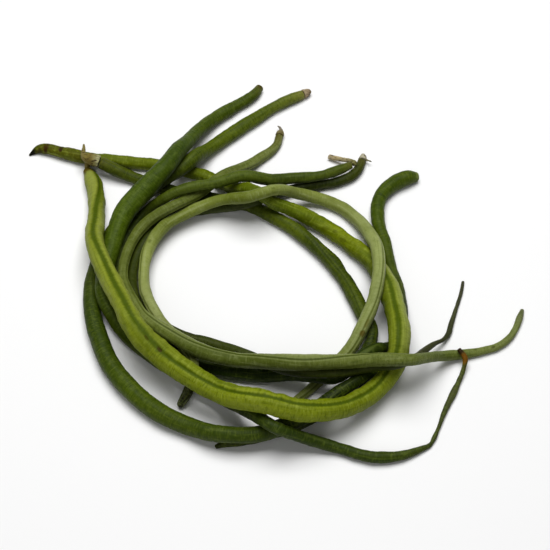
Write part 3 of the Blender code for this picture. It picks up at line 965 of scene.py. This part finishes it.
bean(
    Pod(
        "pod_outer_ring", BACK, seed=500, suture=[(0, 100), (150, 120), (300, 100), (512, 100)],
        swell=0.32, creases=0.09, domes=(0.3, 0.45),
    ),
    # The dark stretch from about 318 to 410 mm is painted shade where the pod lies under others.
    tints=shades(
        (0, 125, 123, 61), (4, 104, 109, 46), (14, 91, 102, 38), (36, 86, 99, 29),
        (62, 77, 90, 24), (90, 59, 70, 13), (165, 57, 69, 14), (195, 44, 59, 5),
        (216, 54, 69, 9), (240, 67, 83, 21), (262, 61, 75, 16), (290, 52, 66, 11),
        (318, 44, 56, 10), (336, 26, 34, 8), (354, 22, 31, 5), (366, 33, 43, 8),
        (410, 33, 43, 8), (450, 67, 80, 20), (480, 63, 80, 18), (500, 59, 74, 14),
        (512, 65, 78, 23),
    ),
    pale=colour(90, 103, 39), deep=colour(44, 58, 5), wrinkle=0.5, speckle=0.4,
    spots=[
        (511.5, 20, 1.6, 4.0, colour(112, 122, 66), 0.75),
        (486, -20, 1.0, 4.0, colour(38, 51, 5), 0.55),
        (479, 0, 0.8, 3.5, colour(38, 51, 5), 0.4),
    ],
)
bean(
    Pod(
        "pod_short", BACK, seed=600,
        suture=[
            (0, 100), (108, 60), (121, -2), (134, -30), (148, -20), (165, -20), (190, -40),
            (288, 60),
        ],
        groove=[(0, 0.1), (110, 0.1), (122, 0.2), (170, 0.2), (185, 0.1)],
        lips=0.12, swell=0.32, creases=0.08,
        dents=[(138, 60, 0.4, 3, 3), (146, 60, -0.35, 3, 3), (157, -110, 0.3, 4, 3)],
    ),
    # The dark stops from about 188 to 236 mm are painted shade where the pod lies under others.
    tints=shades(
        (0, 80, 83, 36), (5, 69, 77, 26), (20, 64, 73, 20), (60, 55, 65, 12), (84, 62, 72, 14),
        (104, 86, 98, 28), (126, 58, 70, 9), (148, 67, 79, 17), (168, 60, 72, 17),
        (188, 34, 44, 8), (236, 36, 46, 9), (280, 46, 52, 20), (286, 38, 41, 18),
    ),
    pale=colour(85, 97, 33), deep=colour(38, 50, 5), mottle=0.6, wrinkle=0.5, speckle=0.4,
)
bean(
    Pod(
        "pod_slender", BACK, seed=700, suture=[(0, 100), (200, 120), (390, 90)], swell=0.2,
        seeds=0.1, girth=[(346, 1), (352, 0.9), (357, 1)],
    ),
    # Its tints follow the light and shade where it lies under other pods: painted shade, lighter
    # from 282 to 302 mm.
    tints=shades(
        (0, 78, 77, 38), (6, 58, 65, 24), (20, 41, 50, 12), (80, 46, 55, 14), (156, 46, 55, 14),
        (216, 55, 64, 23), (262, 46, 55, 17), (282, 62, 71, 32), (302, 62, 71, 32),
        (314, 44, 53, 16), (332, 56, 58, 34), (348, 52, 54, 36), (362, 54, 56, 40),
        (378, 62, 64, 49), (388, 62, 63, 50),
    ),
    pale=colour(76, 81, 44), deep=colour(32, 38, 12), wrinkle=0.25, speckle=0.3,
)
bean(
    Pod(
        "pod_stalked", BACK, seed=800, suture=[(0, 100), (150, 120), (341, 100)], swell=0.24,
        creases=0.06,
    ),
    # The dark stretch from about 108 to 300 mm is painted shade where the pod lies under others.
    tints=shades(
        (0, 90, 90, 39), (6, 71, 81, 31), (40, 73, 86, 31), (84, 79, 92, 36), (108, 60, 71, 20),
        (132, 42, 52, 12), (170, 46, 58, 12), (235, 37, 50, 6), (300, 35, 48, 7),
        (340, 49, 59, 19),
    ),
    pale=colour(92, 106, 45), deep=colour(35, 48, 6), wrinkle=0.25, speckle=0.3,
)

DRY = [
    ("twin_stalk", 0, shades(
        (0.0, 118, 108, 66), (0.3, 116, 104, 50), (0.5, 102, 88, 40), (0.72, 128, 122, 76),
        (0.85, 158, 156, 116), (1.0, 120, 120, 76),
    )),
    ("stalk_dry", 0, shades(
        (0.0, 158, 146, 120), (0.25, 168, 152, 112), (0.6, 148, 138, 104), (0.85, 110, 106, 66),
        (1.0, 100, 98, 52),
    )),
    ("calyx_pale_trailing", 1, shades(
        (0.0, 98, 90, 50), (0.35, 118, 108, 74), (0.6, 122, 114, 96), (1.0, 120, 112, 104),
    )),
    ("calyx_outer_ring", 0, shades(
        (0.0, 136, 126, 88), (0.4, 152, 136, 108), (0.7, 136, 118, 92), (1.0, 84, 70, 50),
    )),
    ("calyx_slender", 0, shades(
        (0.0, 130, 126, 92), (0.35, 176, 170, 148), (0.6, 120, 114, 84), (1.0, 60, 60, 40),
    )),
]
for node, axis, stops in DRY:
    weathered(node, dry_skin(node, axis, stops))

set_up_stage()
